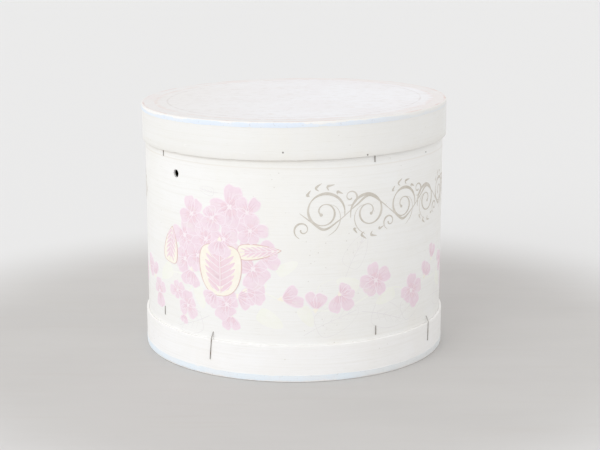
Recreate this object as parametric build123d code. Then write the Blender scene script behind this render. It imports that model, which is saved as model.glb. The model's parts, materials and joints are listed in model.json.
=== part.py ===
from build123d import *

import math
import os

# Round bentwood hat box with a lift-off lid.
#
# Frame: +Z up, origin at the centre of the base, on the surface that the box stands on.
# Angles are in degrees round Z: 0 is the front (-Y) and positive turns towards +X.
# Every hoop is a strip of poplar veneer, bent into a ring and closed by a feathered lap.

# Driving dimensions, in millimetres.
HEIGHT = 242.8  # whole box, lid on
WALL_RADIUS = 147.5  # outside of the wall
VENEER = 2.0  # wall, lid rim and inner hoops
BAND_VENEER = 2.2  # the thicker strip round the base
BAND_HEIGHT = 35.2  # base band and lid rim are cut from one strip
LID_PLAY = 1.0  # radial gap between the wall and the lid rim
BOARD = 4.0  # thickness of the lid's and the base's boards
PAPER = 0.3  # paper pasted on the lid
TAPE = 0.2  # gummed paper tape
GLUE_LINE = 0.1  # gap between nested pieces
SEAT_GAP = 0.2  # lid board above the wall's top edge
BASE_HOOP_HEIGHT = 46.0
RIM_HOOP_HEIGHT = 42.0

# The tape folds round the lid's top corner and under the base's edge.
LID_TAPE_DROP = 5.2
BASE_TAPE_RISE = 6.5
TAPE_INWARD = 13.2

# Laps, where a strip's two feathered ends meet. Each angle is the outer end's.
LAP_LENGTH = 26.0
LAP_SLIT = 0.3
WALL_LAP_ANGLE = 177.0
BAND_LAP_ANGLE = 138.0
LID_LAP_ANGLE = 204.0
RIM_HOOP_LAP_ANGLE = 240.0
BASE_HOOP_LAP_ANGLE = 262.0

# Holes for a carrying cord, opposite each other.
CORD_HOLE_RADIUS = 3.75
CORD_HOLE_Z = 188.0
CORD_HOLE_ANGLES = (-48.4, 131.6)

# Flat wire staples, clinched inside. Each place is (angle, height of the crown's lower end).
WIRE_WIDTH = 1.2
WIRE_THICKNESS = 0.6
WIRE_GAP = 0.05  # round the legs in their slots, and under crown and clinch
SHORT_CROWN = 9.0
LONG_CROWN = 20.0
CLINCH_SHARE = 0.3  # each clinched end's length, as a share of the crown
RIM_HOOP_STAPLES = ((-56.4, 201.6), (30.0, 204.2), (121.0, 202.5), (218.0, 203.0))
BASE_HOOP_STAPLES = ((-57.6, 44.8), (31.2, 39.0), (121.5, 41.0), (213.0, 43.0))
WALL_SEAM_STAPLES = ((180.0, 60.0), (180.0, 93.0), (180.0, 126.0), (180.0, 159.0))
BAND_SEAM_STAPLES = ((140.5, 9.5), (145.0, 9.5))
LID_SEAM_STAPLES = ((206.5, 216.0), (211.0, 216.0))
# Stitches from the wall down over the base band's top edge: (angle, lower end, upper end).
BAND_STITCHES = ((-31.4, 15.4, 42.4), (60.6, 16.6, 41.4), (150.0, 16.0, 42.0), (241.0, 15.0, 41.0))

# Headless brads through the hoops into the edges of the boards.
BRADS = 12
BRAD_RADIUS = 0.6
BRAD_LENGTH = 14.0
BRAD_CLEARANCE = 0.03
BRAD_SET = 0.1  # how far a brad's end is sunk below the surface
BRAD_FIRST_ANGLE = 10.0

CUT_PAST = 1.0  # how far a cutter runs past what it cuts

# Heights and radii that follow from the dimensions above.
LID_TOP = HEIGHT - PAPER
LID_UNDERSIDE = LID_TOP - BOARD
WALL_TOP = LID_UNDERSIDE - SEAT_GAP
LID_RIM_BOTTOM = LID_TOP - BAND_HEIGHT
LID_RIM_INSIDE = WALL_RADIUS + LID_PLAY
LID_RIM_OUTSIDE = LID_RIM_INSIDE + VENEER
LID_TAPE_INSIDE = LID_RIM_OUTSIDE - TAPE_INWARD
WALL_INSIDE = WALL_RADIUS - VENEER
BAND_INSIDE = WALL_RADIUS + GLUE_LINE
BAND_OUTSIDE = BAND_INSIDE + BAND_VENEER
BAND_TOP = TAPE + BAND_HEIGHT
BASE_TAPE_INSIDE = BAND_OUTSIDE - TAPE_INWARD
HOOP_OUTSIDE = WALL_INSIDE - GLUE_LINE
HOOP_INSIDE = HOOP_OUTSIDE - VENEER
BASE_BOARD_TOP = TAPE + BOARD
BASE_HOOP_BOTTOM = BASE_BOARD_TOP + GLUE_LINE
BASE_HOOP_TOP = BASE_HOOP_BOTTOM + BASE_HOOP_HEIGHT
RIM_HOOP_BOTTOM = WALL_TOP - RIM_HOOP_HEIGHT


def disc(radius, bottom, top):
    return Pos(0, 0, bottom) * extrude(Circle(radius), top - bottom)


def ring(inside, outside, bottom, top):
    return Pos(0, 0, bottom) * extrude(Circle(outside) - Circle(inside), top - bottom)


def at_angle(shape, angle):
    """Turns a shape drawn towards +X so that it points at the angle."""
    return Rot(0, 0, angle - 90) * shape


def polar(radius, angle):
    """The point at that radius and angle, in the plane of the rings."""
    turn = math.radians(angle)
    return (radius * math.sin(turn), -radius * math.cos(turn))


def lap_slit(inside, outside, bottom, top, angle):
    """A cutter for the slanted gap between a strip's two feathered ends."""
    middle = (inside + outside) / 2
    sweep = math.degrees(LAP_LENGTH / middle)
    sides = [
        ThreePointArc(
            polar(outside + offset, angle),
            polar(middle + offset, angle + sweep / 2),
            polar(inside + offset, angle + sweep),
        )
        for offset in (-LAP_SLIT / 2, LAP_SLIT / 2)
    ]
    ends = [Line(sides[0] @ t, sides[1] @ t) for t in (0, 1)]
    return Pos(0, 0, bottom) * extrude(make_face(Curve() + sides + ends), top - bottom)


def bent_strip(inside, outside, bottom, top, lap_angle):
    """A strip of veneer bent into a ring, with its ends feathered over each other."""
    slit = lap_slit(inside, outside, bottom - CUT_PAST, top + CUT_PAST, lap_angle)
    return ring(inside, outside, bottom, top) - slit


def mitred_side(points, offset):
    """The (radius, z) points moved sideways by the offset, with mitred corners."""
    runs = [(Vector(*b) - Vector(*a)).normalized() for a, b in zip(points, points[1:])]
    befores = [runs[0], *runs]
    afters = [*runs, runs[-1]]
    moved = []
    for point, before, after in zip(points, befores, afters):
        across = (before + after).rotate(Axis.Z, 90)
        moved.append(Vector(*point) + across * (2 * offset / across.length**2))
    return [(p.X, p.Y) for p in moved]


def flat_wire(points, angle):
    """A flat wire that runs through the (radius, z) points, in the upright plane at the angle."""
    half = WIRE_THICKNESS / 2
    outline = Polyline(*mitred_side(points, half), *reversed(mitred_side(points, -half)), close=True)
    return at_angle(extrude(Plane.XZ * make_face(outline), WIRE_WIDTH / 2, both=True), angle)


def staple(place, inside, outside, edge=None):
    """A staple from inside to outside, its ends clinched. Its crown steps over the (radius, z) edge."""
    angle, low, high = place
    half = WIRE_THICKNESS / 2
    clinch = inside - WIRE_GAP - half
    crown_top = crown_low = outside + WIRE_GAP + half
    over_edge = []
    if edge:
        crown_low = edge[0] + WIRE_GAP + half
        over_edge = [(crown_low, edge[1] + half)]
    bend = CLINCH_SHARE * (high - low)
    path = [
        (clinch, low + half + bend),
        (clinch, low + half),
        (crown_low, low + half),
        *over_edge,
        (crown_top, high - half),
        (clinch, high - half),
        (clinch, high - half - bend),
    ]
    return flat_wire(path, angle)


def staple_places(places, crown):
    """(angle, lower end, upper end) for staples with that length of crown."""
    return [(angle, low, low + crown) for angle, low in places]


def leg_slots(places):
    """Cutters for the slots that the staples' legs pass through."""
    half = WIRE_THICKNESS / 2
    reach = LID_RIM_OUTSIDE - HOOP_INSIDE + 2 * CUT_PAST
    slot = Box(reach, WIRE_WIDTH + 2 * WIRE_GAP, WIRE_THICKNESS + 2 * WIRE_GAP)
    return [
        at_angle(Pos(WALL_RADIUS, 0, z) * slot, angle)
        for angle, low, high in places
        for z in (low + half, high - half)
    ]


def radial_pins(inner_end, outer_end, z, radius):
    """Pins that point outwards, evenly spaced round Z."""
    pin = Cylinder(radius, outer_end - inner_end, align=(Align.CENTER, Align.CENTER, Align.MIN))
    pointing_out = Pos(inner_end, 0, z) * Rot(0, 90, 0) * pin
    return [at_angle(pointing_out, BRAD_FIRST_ANGLE + i * 360 / BRADS) for i in range(BRADS)]


def brads(surface, z):
    end = surface - BRAD_SET
    return radial_pins(end - BRAD_LENGTH, end, z, BRAD_RADIUS)


def brad_holes(surface, z):
    end = surface - BRAD_SET
    deep = end - BRAD_LENGTH - BRAD_CLEARANCE
    return radial_pins(deep, surface + CUT_PAST, z, BRAD_RADIUS + BRAD_CLEARANCE)


def cord_holes():
    bore = Pos(WALL_RADIUS, 0, CORD_HOLE_Z) * Rot(0, 90, 0) * Cylinder(CORD_HOLE_RADIUS, 10 * VENEER)
    return [at_angle(bore, angle) for angle in CORD_HOLE_ANGLES]


def corner_tape(corner_radius, inner_radius, face_z, wood_z, edge_z):
    """A ring of tape folded round a corner: its flat from face_z to the wood, its side on to edge_z."""
    outline = Polyline(
        (inner_radius, face_z),
        (corner_radius + TAPE, face_z),
        (corner_radius + TAPE, edge_z),
        (corner_radius, edge_z),
        (corner_radius, wood_z),
        (inner_radius, wood_z),
        close=True,
    )
    return revolve(Plane.XZ * make_face(outline), Axis.Z)


def box_nodes():
    rim_staples = staple_places(RIM_HOOP_STAPLES, SHORT_CROWN)
    hoop_staples = staple_places(BASE_HOOP_STAPLES, SHORT_CROWN)
    wall_staples = staple_places(WALL_SEAM_STAPLES, LONG_CROWN)
    band_staples = staple_places(BAND_SEAM_STAPLES, LONG_CROWN)
    through_band = leg_slots([*band_staples, *BAND_STITCHES])
    through_rim_hoop = leg_slots(rim_staples)
    through_base_hoop = leg_slots(hoop_staples)
    board_z = TAPE + BOARD / 2
    pin_holes = brad_holes(BAND_OUTSIDE, board_z)

    wall = bent_strip(WALL_INSIDE, WALL_RADIUS, TAPE, WALL_TOP, WALL_LAP_ANGLE)
    wall -= [*through_band, *through_rim_hoop, *through_base_hoop, *leg_slots(wall_staples)]
    wall -= [*cord_holes(), *pin_holes]
    rim_hoop = bent_strip(HOOP_INSIDE, HOOP_OUTSIDE, RIM_HOOP_BOTTOM, WALL_TOP, RIM_HOOP_LAP_ANGLE)
    base_hoop = bent_strip(HOOP_INSIDE, HOOP_OUTSIDE, BASE_HOOP_BOTTOM, BASE_HOOP_TOP, BASE_HOOP_LAP_ANGLE)
    base_band = bent_strip(BAND_INSIDE, BAND_OUTSIDE, TAPE, BAND_TOP, BAND_LAP_ANGLE)
    band_edge = (BAND_OUTSIDE, BAND_TOP)
    return {
        "wall": wall,
        "inner_rim_hoop": rim_hoop - through_rim_hoop,
        "inner_base_hoop": base_hoop - [*through_base_hoop, *through_band],
        "base_band": base_band - [*through_band, *pin_holes],
        "base_board": disc(HOOP_OUTSIDE, TAPE, BASE_BOARD_TOP) - pin_holes,
        "base_edge_tape": corner_tape(BAND_OUTSIDE, BASE_TAPE_INSIDE, 0, TAPE, BASE_TAPE_RISE),
        "base_board_brads": brads(BAND_OUTSIDE, board_z),
        "wall_seam_staples": [staple(p, WALL_INSIDE, WALL_RADIUS) for p in wall_staples],
        "inner_rim_hoop_staples": [staple(p, HOOP_INSIDE, WALL_RADIUS) for p in rim_staples],
        "inner_base_hoop_staples": [staple(p, HOOP_INSIDE, WALL_RADIUS) for p in hoop_staples],
        "base_band_seam_staples": [staple(p, HOOP_INSIDE, BAND_OUTSIDE) for p in band_staples],
        "base_band_stitches": [staple(p, HOOP_INSIDE, WALL_RADIUS, band_edge) for p in BAND_STITCHES],
    }


def lid_nodes():
    seam_staples = staple_places(LID_SEAM_STAPLES, LONG_CROWN)
    board_z = LID_TOP - BOARD / 2
    pin_holes = brad_holes(LID_RIM_OUTSIDE, board_z)
    rim = bent_strip(LID_RIM_INSIDE, LID_RIM_OUTSIDE, LID_RIM_BOTTOM, LID_TOP, LID_LAP_ANGLE)
    tape_sizes = (LID_RIM_OUTSIDE, LID_TAPE_INSIDE, LID_TOP + TAPE, LID_TOP, HEIGHT - LID_TAPE_DROP)
    return {
        "lid_board": disc(LID_RIM_INSIDE - GLUE_LINE, LID_UNDERSIDE, LID_TOP) - pin_holes,
        "lid_rim": rim - [*leg_slots(seam_staples), *pin_holes],
        "lid_edge_tape": corner_tape(*tape_sizes),
        "lid_top_paper": disc(LID_TAPE_INSIDE - GLUE_LINE, LID_TOP, HEIGHT),
        "lid_board_brads": brads(LID_RIM_OUTSIDE, board_z),
        "lid_seam_staples": [staple(p, LID_RIM_INSIDE, LID_RIM_OUTSIDE) for p in seam_staples],
    }


def as_compound(shapes):
    solids = [solid for shape in shapes for solid in shape.solids()]
    return Compound(children=solids)


os.makedirs("parts", exist_ok=True)
for name, shape in {**box_nodes(), **lid_nodes()}.items():
    pieces = shape if isinstance(shape, list) else [shape]
    export_step(as_compound(pieces), f"parts/{name}.step")
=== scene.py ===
import json
import math
import random
from collections import namedtuple

import bmesh
import bpy
from mathutils import Matrix, Vector


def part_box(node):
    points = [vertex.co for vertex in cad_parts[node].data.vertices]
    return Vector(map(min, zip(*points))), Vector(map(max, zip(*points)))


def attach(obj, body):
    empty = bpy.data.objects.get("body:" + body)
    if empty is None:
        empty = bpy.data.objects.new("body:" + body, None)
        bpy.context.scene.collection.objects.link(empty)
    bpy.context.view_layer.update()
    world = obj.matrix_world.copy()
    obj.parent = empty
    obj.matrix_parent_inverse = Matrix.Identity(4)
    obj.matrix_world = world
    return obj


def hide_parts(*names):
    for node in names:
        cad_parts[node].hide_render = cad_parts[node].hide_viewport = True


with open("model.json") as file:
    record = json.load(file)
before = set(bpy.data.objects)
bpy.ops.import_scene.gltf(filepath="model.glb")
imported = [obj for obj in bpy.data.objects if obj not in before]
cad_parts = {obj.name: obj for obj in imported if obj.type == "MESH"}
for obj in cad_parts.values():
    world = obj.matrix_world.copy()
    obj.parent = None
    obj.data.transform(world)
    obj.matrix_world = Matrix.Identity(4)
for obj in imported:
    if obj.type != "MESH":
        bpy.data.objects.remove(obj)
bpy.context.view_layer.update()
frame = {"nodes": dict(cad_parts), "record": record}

# Round bentwood hat box with a lift-off lid. Metres, in the CAD frame: +Z up, -Y is the front.
# Angles are in degrees round Z: 0 is the front and positive turns towards +X.
# Hoops, tapes, paper and wire are rebuilt as finer pieces on the CAD's own radii and heights.
# The print lies on the wall as thin layers of ink, each shape a closed plate.

MM = 0.001
Ring = namedtuple("Ring", "inside outside low high")


def ring_of(node):
    """The node's smallest and largest distance from the Z axis, and its lowest and highest z."""
    spans = [math.hypot(v.co.x, v.co.y) for v in frame["nodes"][node].data.vertices]
    low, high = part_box(node)
    return Ring(min(spans), max(spans), low.z, high.z)


WALL = ring_of("wall")
BAND = ring_of("base_band")
RIM = ring_of("lid_rim")
LID_TAPE = ring_of("lid_edge_tape")
BASE_TAPE = ring_of("base_edge_tape")
PAPER = ring_of("lid_top_paper")
LID_BOARD = ring_of("lid_board")

# Laps, where each strip's ends meet: the angle of the outer end.
LAP_LENGTH = 26 * MM
WALL_LAP = 177.0
BAND_LAP = 138.0
RIM_LAP = 204.0
HOOP_LAPS = {"inner_rim_hoop": 240.0, "inner_base_hoop": 262.0}
LAP_LIP = 0.35 * MM  # how far an outer end stands proud
LAP_SLIT = 0.04 * MM  # between the two ends
FEATHER = 0.25 * MM  # thickness left at an outer end
THINNEST = 0.1 * MM  # least thickness of an inner end
EDGE_ROUND = 0.4 * MM
SEGMENTS = 540  # round the circle
SHARP = 35  # edges sharper than this many degrees aren't smoothed

WIRE_WIDTH = 0.9 * MM
WIRE_THICKNESS = 0.6 * MM
WIRE_BEND = 0.55 * MM
WIRE_SIDES = 12
CLINCH_SHARE = 0.3  # each clinched end's length, as a share of the staple's

TAPE_THICK = 0.2 * MM
TAPE_ROUND = 1.3 * MM
TAPE_JOIN = 190.0
TAPE_OVERLAP = 4  # degrees
PAPER_SPREAD = 0.7 * MM  # past the CAD paper's edge, to meet the tape's uneven one

# The lid sits a little askew: pressed home on the left and raised on the right.
LEAN = math.radians(0.9)
SEAT = Vector((-WALL.outside, 0, LID_BOARD.low))

CORD_HOLE_RADIUS = frame["record"]["mounts"][1]["dims"]["r_mm"] * MM
CORD_HOLES = [mount["pos_m"] for mount in frame["record"]["mounts"] if mount["kind"] == "bore"]


def lean(point):
    """A point of the square, seated lid, moved to where the lid leans."""
    return SEAT + Matrix.Rotation(-LEAN, 3, "Y") @ (point - SEAT)


def upright(point):
    return point


def at(radius, degrees, z):
    turn = math.radians(degrees)
    return Vector((radius * math.sin(turn), -radius * math.cos(turn), z))


def wobble(seed, amount, cycles=(2, 3, 5, 7, 11)):
    """A smooth, seeded wobble round the circle: a function of the angle in degrees."""
    draw = random.Random(seed)
    waves = [(n, draw.uniform(0, math.tau), draw.uniform(0.5, 1.0)) for n in cycles]

    def value(degrees):
        turn = math.radians(degrees)
        return amount * sum(w * math.sin(n * turn + phase) for n, phase, w in waves) / len(waves)

    return value


def nicks(seed, count, depth, width):
    """Small chips out of an edge: a function of the angle that gives the depth there."""
    draw = random.Random(seed)
    chips = [
        (draw.uniform(0, 360), draw.uniform(0.3, 1) * depth, draw.uniform(0.4, 1) * width)
        for _ in range(count)
    ]

    def value(degrees):
        total = 0.0
        for centre, deep, wide in chips:
            away = (degrees - centre + 180) % 360 - 180
            total = max(total, deep * math.exp(-((away / wide) ** 2)))
        return total

    return value


def straight(degrees):
    """An edge that isn't cut back anywhere."""
    return 0.0


def worn(edge, chips):
    """An edge cut back by a wobble and by chips."""
    return lambda degrees: abs(edge(degrees)) + chips(degrees)


def outward_mesh(name, verts, faces):
    """A mesh whose faces all look outwards."""
    mesh = bpy.data.meshes.new(name)
    mesh.from_pydata([tuple(v) for v in verts], [], faces)
    work = bmesh.new()
    work.from_mesh(mesh)
    bmesh.ops.recalc_face_normals(work, faces=work.faces)
    work.to_mesh(mesh)
    work.free()
    return mesh


def add_piece(name, verts, faces, material, body, replaces=None, slot=None, crease=SHARP):
    """A mesh object that rides on the body, smooth except at edges sharper than crease degrees."""
    mesh = outward_mesh(name, verts, faces)
    mesh.shade_smooth()
    mesh.set_sharp_from_angle(angle=math.radians(crease))
    mesh.materials.append(material)
    piece = bpy.data.objects.new(name, mesh)
    bpy.context.scene.collection.objects.link(piece)
    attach(piece, body)
    if replaces:
        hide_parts(replaces)
    return piece


def loop_quads(a, b, count):
    """Faces between two loops of count vertices, whose first ones are a and b."""
    return [(a + i, b + i, b + (i + 1) % count, a + (i + 1) % count) for i in range(count)]


def swept(sections):
    """(verts, faces) of a solid through the sections, each a loop of points, with capped ends."""
    size = len(sections[0])
    last = (len(sections) - 1) * size
    verts = [point for loop in sections for point in loop]
    faces = []
    for start in range(0, last, size):
        faces += loop_quads(start, start + size, size)
    faces.append(tuple(range(size)))
    faces.append(tuple(reversed(range(last, last + size))))
    return verts, faces


def strip_section(inside, outside, low, high, rows):
    """(radius, z) points round a strip's cross-section, its corners rounded over."""
    rounding = min(EDGE_ROUND, 0.45 * (outside - inside))
    corners = (
        (outside - rounding, low + rounding, -90),
        (outside - rounding, high - rounding, 0),
        (inside + rounding, high - rounding, 90),
        (inside + rounding, low + rounding, 180),
    )
    flat = high - low - 2 * rounding
    face_z = [low + rounding + flat * i / (rows + 1) for i in range(1, rows + 1)]
    sides = {0: [(outside, z) for z in face_z], 2: [(inside, z) for z in reversed(face_z)]}
    points = []
    for i, (r, z, start) in enumerate(corners):
        for step in (0, 30, 60, 90):
            turn = math.radians(start + step)
            points.append((r + rounding * math.cos(turn), z + rounding * math.sin(turn)))
        points += sides.get(i, [])
    return points


def bent_strip(ring, lap_angle, radius_wobble, low_edge, high_edge, place=upright, rows=10):
    """(verts, faces) of a strip bent into a hoop, its feathered ends lapped, its edges cut back."""
    inside, outside, low, high = ring
    thickness = outside - inside
    lap = math.degrees(LAP_LENGTH / outside)
    turns = 360 + lap
    count = int(SEGMENTS * turns / 360)
    sections = []
    for i in range(count + 1):
        along = turns * i / count
        degrees = lap_angle + along
        outer, inner = outside, inside
        if along < lap:
            share = along / lap
            outer = outside + LAP_LIP * (1 - share)
            inner = outside - FEATHER - (thickness - FEATHER) * share + LAP_SLIT * (1 - share)
        if along > 360:
            share = (along - 360) / lap
            outer = outside - FEATHER - (thickness - FEATHER) * share - LAP_SLIT
            inner = min(inside, outer - THINNEST)
        shift = radius_wobble(degrees)
        bottom, top = low + low_edge(degrees), high - high_edge(degrees)
        section = strip_section(inner + shift, outer + shift, bottom, top, rows)
        sections.append([place(at(r, degrees, z)) for r, z in section])
    return swept(sections)


def corner_tape(ring, outward, seed, place=upright):
    """(verts, faces) of tape folded round a corner, its flat on top (outward 1) or underneath (-1).

    The tape overlaps itself for a few degrees, and both of its edges are a little uneven.
    """
    edge_z, face_z = (ring.low, ring.high)[::outward]
    side_edge = wobble(seed, 0.5 * MM, (3, 5, 8, 13, 21, 34))
    inner_edge = wobble(seed + 1, 0.5 * MM, (2, 5, 9, 14, 23, 37))
    side_chips = nicks(seed + 2, 9, 1.2 * MM, 1.2)
    pucker = wobble(seed + 3, 0.12 * MM, (41, 57, 73, 90))
    count = SEGMENTS + int(SEGMENTS * TAPE_OVERLAP / 360)
    on_side = 6  # the points of the skin that are thickened towards the axis
    sections = []
    for i in range(count + 1):
        degrees = TAPE_JOIN + 360 * i / SEGMENTS
        lift = TAPE_THICK * max(0.0, (i - SEGMENTS) / (count - SEGMENTS))
        radius = ring.outside + lift
        face = face_z + outward * lift
        edge = edge_z + outward * (side_edge(degrees) + side_chips(degrees))
        inside = ring.inside + inner_edge(degrees)
        centre_r, centre_z = radius - TAPE_ROUND, face - outward * TAPE_ROUND
        skin = [(radius, edge), (radius, (edge + centre_z) / 2)]
        for step in range(0, 91, 15):
            turn = math.radians(step)
            r = centre_r + TAPE_ROUND * math.cos(turn)
            skin.append((r, centre_z + outward * TAPE_ROUND * math.sin(turn)))
        for share in (0.25, 0.5, 0.75, 1.0):
            r = centre_r + (inside - centre_r) * share
            skin.append((r, face - outward * abs(pucker(degrees)) * math.sin(math.pi * share)))
        back = [(r - TAPE_THICK, z) for r, z in skin[:on_side]]
        back += [(r, z - outward * TAPE_THICK) for r, z in skin[on_side:]]
        loop = (skin + back[::-1])[::outward]
        sections.append([place(at(r, degrees, z)) for r, z in loop])
    return swept(sections)


def round_board(radius, low, high, surface, place, rings):
    """(verts, faces) of a disc whose top face is raised by surface(x, y), with a rounded rim."""
    count = SEGMENTS // 2
    rounding = min(0.3 * MM, 0.4 * (high - low))
    verts = [place(Vector((0, 0, high + surface(0, 0))))]
    for ring in range(1, rings + 1):
        for i in range(count):
            point = at((radius - rounding) * (ring / rings), 360 * i / count, high)
            point.z += surface(point.x, point.y)
            verts.append(place(point))
    rim = ((radius, high - rounding), (radius, low + rounding), (radius - rounding, low))
    for r, z in rim:
        verts += [place(at(r, 360 * i / count, z)) for i in range(count)]
    verts.append(place(Vector((0, 0, low))))
    last = 1 + (rings + len(rim) - 1) * count
    faces = [(0, 1 + i, 1 + (i + 1) % count) for i in range(count)]
    for start in range(1, last, count):
        faces += loop_quads(start, start + count, count)
    faces += [(last + (i + 1) % count, last + i, len(verts) - 1) for i in range(count)]
    return verts, faces


def islands(node):
    """The node's separate solids, each a list of its vertices' places."""
    mesh = frame["nodes"][node].data
    leader = list(range(len(mesh.vertices)))

    def find(i):
        while leader[i] != i:
            leader[i] = leader[leader[i]]
            i = leader[i]
        return i

    spots = {}
    for vertex in mesh.vertices:
        key = tuple(round(c, 6) for c in vertex.co)
        leader[vertex.index] = spots.setdefault(key, vertex.index)
    for edge in mesh.edges:
        a, b = (find(i) for i in edge.vertices)
        leader[a] = b
    groups = {}
    for vertex in mesh.vertices:
        groups.setdefault(find(vertex.index), []).append(vertex.co.copy())
    return [groups[key] for key in sorted(groups)]


def rounded_path(points, radius):
    """The (across, z) points with each corner turned into a small arc."""
    path = [points[0]]
    for before, corner, after in zip(points, points[1:], points[2:]):
        start = corner + (before - corner).normalized() * radius
        end = corner + (after - corner).normalized() * radius
        for share in (0.0, 0.25, 0.5, 0.75, 1.0):
            path.append(start.lerp(corner, share).lerp(corner.lerp(end, share), share))
    path.append(points[-1])
    return path


def squared(share):
    """A sine or cosine pushed outwards, which turns a circle into a soft-cornered square."""
    return math.copysign(abs(share) ** 0.6, share)


def wire_staple(solid, tilt, bow, place):
    """(verts, faces) of a wire staple where the CAD's solid is, tilted by degrees and bowed out."""
    spans = [math.hypot(p.x, p.y) for p in solid]
    degrees = math.degrees(math.atan2(sum(p.x for p in solid), -sum(p.y for p in solid)))
    low, high = min(p.z for p in solid), max(p.z for p in solid)
    middle = (low + high) / 2
    half = WIRE_THICKNESS / 2
    clinch = min(spans) + half
    crown = max(spans) - half
    upper_crown = max(r for r, p in zip(spans, solid) if p.z > high - 3 * half) - half
    bend = CLINCH_SHARE * (high - low - 2 * half)
    over_edge = crown - upper_crown > half
    corners = (
        (clinch, low + half + bend),
        (clinch, low + half),
        (crown, low + half),
        (crown, BAND.high + half) if over_edge else (crown + bow, middle),
        (upper_crown, high - half),
        (clinch, high - half),
        (clinch, high - half - bend),
    )
    path = rounded_path([Vector(c) for c in corners], WIRE_BEND)
    sections = []
    for i, point in enumerate(path):
        ahead = (path[min(i + 1, len(path) - 1)] - path[max(i - 1, 0)]).normalized()
        normal = Vector((ahead.y, -ahead.x))
        loop = []
        for step in range(WIRE_SIDES):
            turn = math.tau * step / WIRE_SIDES
            spot = point + normal * half * squared(math.sin(turn))
            side = WIRE_WIDTH / 2 * squared(math.cos(turn))
            side += (spot.y - middle) * math.tan(math.radians(tilt))
            loop.append(place(at(spot.x, degrees, spot.y) + at(side, degrees + 90, 0)))
        sections.append(loop)
    return swept(sections)


def joined(parts):
    """One (verts, faces) from several."""
    verts, faces = [], []
    for part_verts, part_faces in parts:
        start = len(verts)
        verts += part_verts
        faces += [tuple(start + i for i in face) for face in part_faces]
    return verts, faces


def welded(verts, faces):
    """(verts, faces) with vertices at one place joined, and faces that shrink away left out."""
    spots = {}
    places = []
    known = []
    for vert in verts:
        key = tuple(round(c, 7) for c in vert)
        if key not in spots:
            spots[key] = len(places)
            places.append(vert)
        known.append(spots[key])
    kept = [tuple(dict.fromkeys(known[i] for i in face)) for face in faces]
    return places, [face for face in kept if len(face) > 2]


def staples(node, name, material, body, place=upright, tilts=()):
    """Rebuilds a staple node as soft-cornered wire. tilts are the first staples' own, in degrees."""
    draw = random.Random(node)
    parts = []
    for i, solid in enumerate(islands(node)):
        tilt = tilts[i] if i < len(tilts) else draw.uniform(-3, 3)
        parts.append(wire_staple(solid, tilt, draw.uniform(0, 0.15) * MM, place))
    add_piece(name, *joined(parts), material, body, replaces=node, slot="steel_wire", crease=60)


class Ink:
    """One colour of print: closed plates that follow the wall, laid down shape by shape.

    layer is shared by every ink: shapes on a higher layer cover those on a lower one.
    """

    layer = 0

    def __init__(self, lift):
        self.lift = lift
        self.verts = []
        self.faces = []
        self.laid = 0

    def skin(self, top, faces, border):
        """Adds a plate: (arc mm, height mm) points, faces that index them, and their outer loop."""
        self.laid += 1
        raised = self.lift + LAYER_STEP * Ink.layer + OVERLAP_STEP * (self.laid % 5)
        for turn in PRINT_TURNS:
            start = len(self.verts)
            count = len(top)
            for lift in (raised, -PLATE_SUNK):
                for u, v in top:
                    degrees = u / ARC_PER_DEGREE + turn
                    self.verts.append(at(wall_surface(degrees) + lift, degrees, v * MM))
            self.faces += [tuple(start + i for i in face) for face in faces]
            self.faces += [tuple(start + count + i for i in reversed(face)) for face in faces]
            for i, j in zip(border, border[1:] + border[:1]):
                self.faces.append((start + j, start + i, start + count + i, start + count + j))

    def shape(self, centre, outline):
        """A filled shape, given by outline points round a centre that sees them all."""
        reach = max(math.dist(centre, p) for p in outline)
        rings = max(2, math.ceil(reach / RING_STEP))
        count = len(outline)
        top = [centre]
        for ring in range(1, rings + 1):
            share = ring / rings
            top += [tuple(c + (p - c) * share for c, p in zip(centre, point)) for point in outline]
        last = 1 + (rings - 1) * count
        faces = [(0, 1 + i, 1 + (i + 1) % count) for i in range(count)]
        for start in range(1, last, count):
            faces += loop_quads(start, start + count, count)
        self.skin(top, faces, list(range(last, last + count)))

    def stroke(self, points, widths):
        """A pen stroke through the points. widths are shared out along it, from start to end."""
        path = smooth_path(points)
        left, right = [], []
        for i, (u, v) in enumerate(path):
            ahead, behind = path[min(i + 1, len(path) - 1)], path[max(i - 1, 0)]
            du, dv = ahead[0] - behind[0], ahead[1] - behind[1]
            length = math.hypot(du, dv) or 1
            half = spread(widths, i / (len(path) - 1)) / 2
            left.append((u - dv / length * half, v + du / length * half))
            right.append((u + dv / length * half, v - du / length * half))
        count = len(path)
        faces = [
            (row + i, row + count + i, row + count + i + 1, row + i + 1)
            for row in (0, count)
            for i in range(count - 1)
        ]
        right_side = list(range(2 * count, 3 * count))
        left_side = list(range(count - 1, -1, -1))
        self.skin(left + path + right, faces, [*right_side, 2 * count - 1, *left_side, count])

    def dot(self, centre, radius):
        self.shape(centre, [polar_point(centre, radius, 30 * i) for i in range(12)])


def spread(values, share):
    """The value at that share of the way along a list of values."""
    place = share * (len(values) - 1)
    i = min(int(place), len(values) - 2)
    return values[i] + (values[i + 1] - values[i]) * (place - i)


def polar_point(centre, radius, degrees):
    turn = math.radians(degrees)
    return (centre[0] + radius * math.cos(turn), centre[1] + radius * math.sin(turn))


def curve_at(a, b, c, d, t):
    """The Catmull-Rom curve through a, b, c and d, at the share t of the way from b to c."""
    square = (2 * a - 5 * b + 4 * c - d) * t**2
    cube = (3 * b - a - 3 * c + d) * t**3
    return 0.5 * (2 * b + (c - a) * t + square + cube)


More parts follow.
